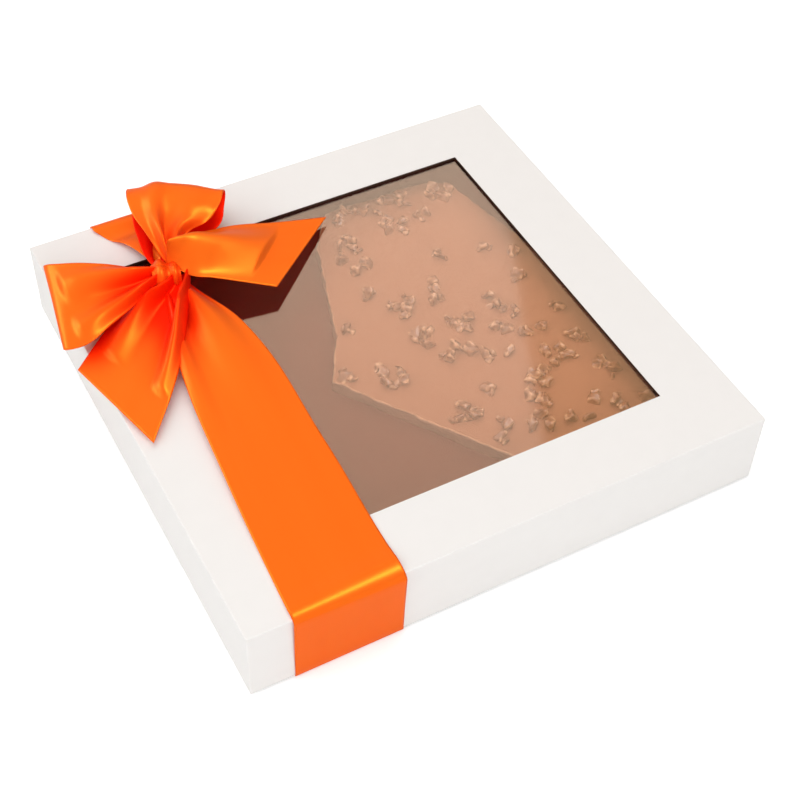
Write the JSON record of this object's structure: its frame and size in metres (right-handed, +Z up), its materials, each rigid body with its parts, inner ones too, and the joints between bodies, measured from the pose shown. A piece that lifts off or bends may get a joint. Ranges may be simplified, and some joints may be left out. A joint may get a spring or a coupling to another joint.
{
  "type": "windowed gift box with ribbon bow",
  "caption": "Square white rigid gift box with a clear window in its lift-off lid, an orange satin ribbon tied in a bow, and a broken chocolate slab on a card insert.",
  "frame": {"origin": "middle of the base's underside, on the table", "axes": "+Z up out of the window, +Y to the back wall, +X to the right, with the bow at the left back"},
  "size_m": [0.2077, 0.201, 0.0514],
  "materials": {
    "white_paper": "uncoated white wrap paper, smooth",
    "lid_board": "dark through-dyed board, bare cut edge",
    "grey_board": "grey chipboard",
    "clear_film": "clear glossy film",
    "brown_paper": "matt brown lining paper",
    "brown_card": "matt brown card",
    "chocolate": "milk chocolate, satin sheen",
    "satin_ribbon": "orange satin"
  },
  "bodies": {
    "base": {"base_floor_board": "grey_board", "base_front_board": "grey_board", "base_back_board": "grey_board", "base_left_board": "grey_board", "base_right_board": "grey_board", "base_wrap": "white_paper", "base_underside_sheet": "white_paper", "base_lining": "brown_paper", "insert_platform": "brown_card", "insert_riser_front": "brown_card", "insert_riser_back": "brown_card", "insert_riser_left": "brown_card", "insert_riser_right": "brown_card", "chocolate_slab": "chocolate", "topping_pieces": "chocolate"},
    "lid": {"lid_top_board": "lid_board", "lid_front_board": "lid_board", "lid_back_board": "lid_board", "lid_left_board": "lid_board", "lid_right_board": "lid_board", "lid_wrap": "white_paper", "window_film": "clear_film", "lid_lining": "brown_paper", "ribbon_front_strand": "satin_ribbon", "ribbon_front_drop": "satin_ribbon", "ribbon_back_strand": "satin_ribbon", "ribbon_back_drop": "satin_ribbon", "bow_knot": "satin_ribbon", "bow_left_loop": "satin_ribbon", "bow_back_loop": "satin_ribbon", "bow_left_tail": "satin_ribbon", "bow_right_tail": "satin_ribbon"}
  },
  "joints": [
    {"name": "lid_lift", "type": "slide", "parent": "base", "child": "lid", "axis": [0, 0, 1], "range_m": [0, 0.06]}
  ]
}
